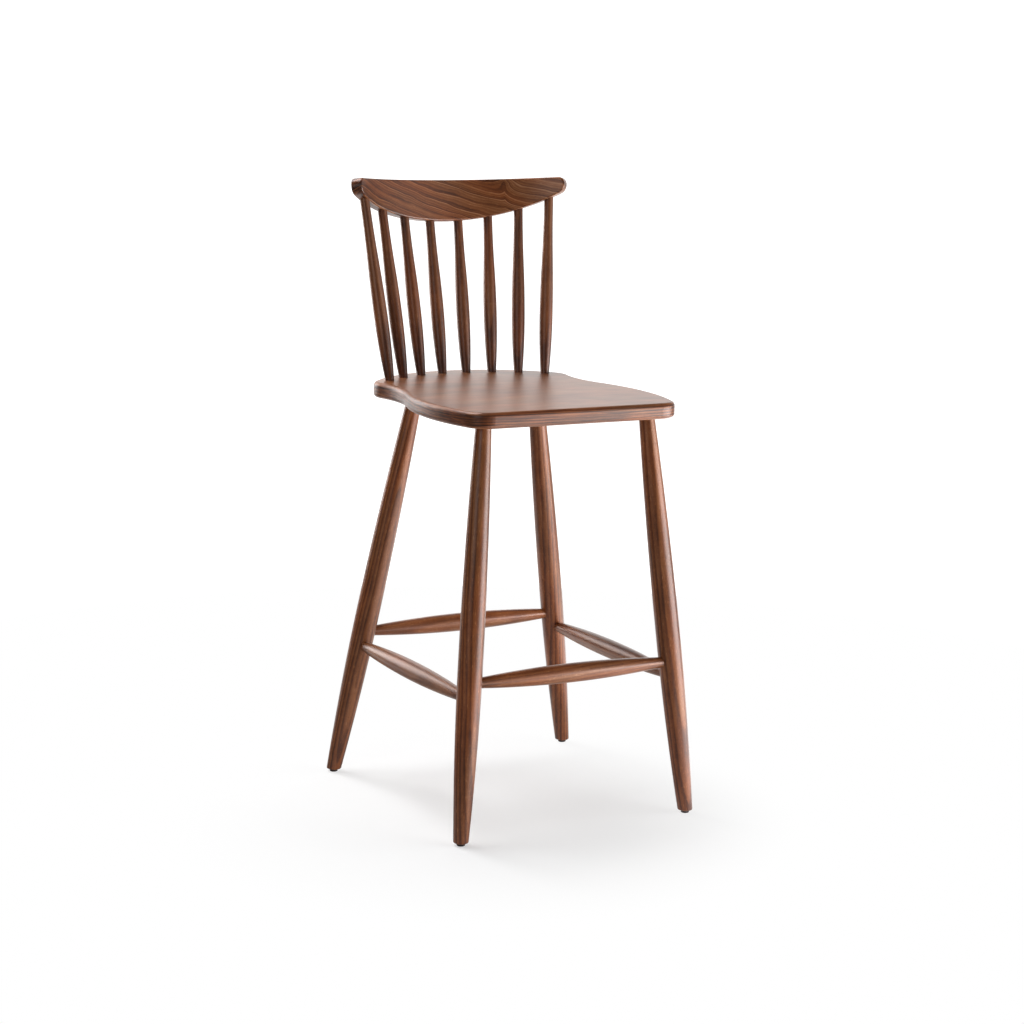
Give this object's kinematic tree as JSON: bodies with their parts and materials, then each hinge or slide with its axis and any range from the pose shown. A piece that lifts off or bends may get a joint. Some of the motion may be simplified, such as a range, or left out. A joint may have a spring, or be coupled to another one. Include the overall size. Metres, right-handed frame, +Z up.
{
  "type": "bar stool",
  "caption": "Bar-height wooden stool with a waisted flat seat, splayed turned legs, a box of turned stretchers that serves as footrest, and a leaning spindle back under a bent crest rail.",
  "frame": {"origin": "on the floor, under the middle of the stool's box", "axes": "+Z up; -Y towards the front, the way a sitter faces; +X to the right as seen from the front, so left in the node names is -X"},
  "size_m": [0.5258, 0.6024, 1.12],
  "materials": {
    "seat_wood": "walnut-brown stain under satin lacquer, on laminated beech",
    "crest_wood": "walnut-brown stain under satin lacquer, on figured beech",
    "leg_wood": "walnut-brown stain under semi-gloss lacquer, on turned beech",
    "stretcher_wood": "walnut-brown stain under semi-gloss lacquer, on turned beech",
    "spindle_wood": "walnut-brown stain under semi-gloss lacquer, on turned beech",
    "glide_plastic": "dark brown moulded plastic",
    "nail_steel": "plain bright steel"
  },
  "bodies": {
    "root": {"seat": "seat_wood", "crest_rail": "crest_wood", "leg_front_left": "leg_wood", "leg_front_right": "leg_wood", "leg_rear_left": "leg_wood", "leg_rear_right": "leg_wood", "stretcher_front": "stretcher_wood", "stretcher_rear": "stretcher_wood", "stretcher_left": "stretcher_wood", "stretcher_right": "stretcher_wood", "spindle_1": "spindle_wood", "spindle_2": "spindle_wood", "spindle_3": "spindle_wood", "spindle_4": "spindle_wood", "spindle_5": "spindle_wood", "spindle_6": "spindle_wood", "spindle_7": "spindle_wood", "spindle_8": "spindle_wood", "glide_front_left": "glide_plastic", "glide_front_right": "glide_plastic", "glide_rear_left": "glide_plastic", "glide_rear_right": "glide_plastic", "nail_front_left": "nail_steel", "nail_front_right": "nail_steel", "nail_rear_left": "nail_steel", "nail_rear_right": "nail_steel"}
  },
  "joints": []
}
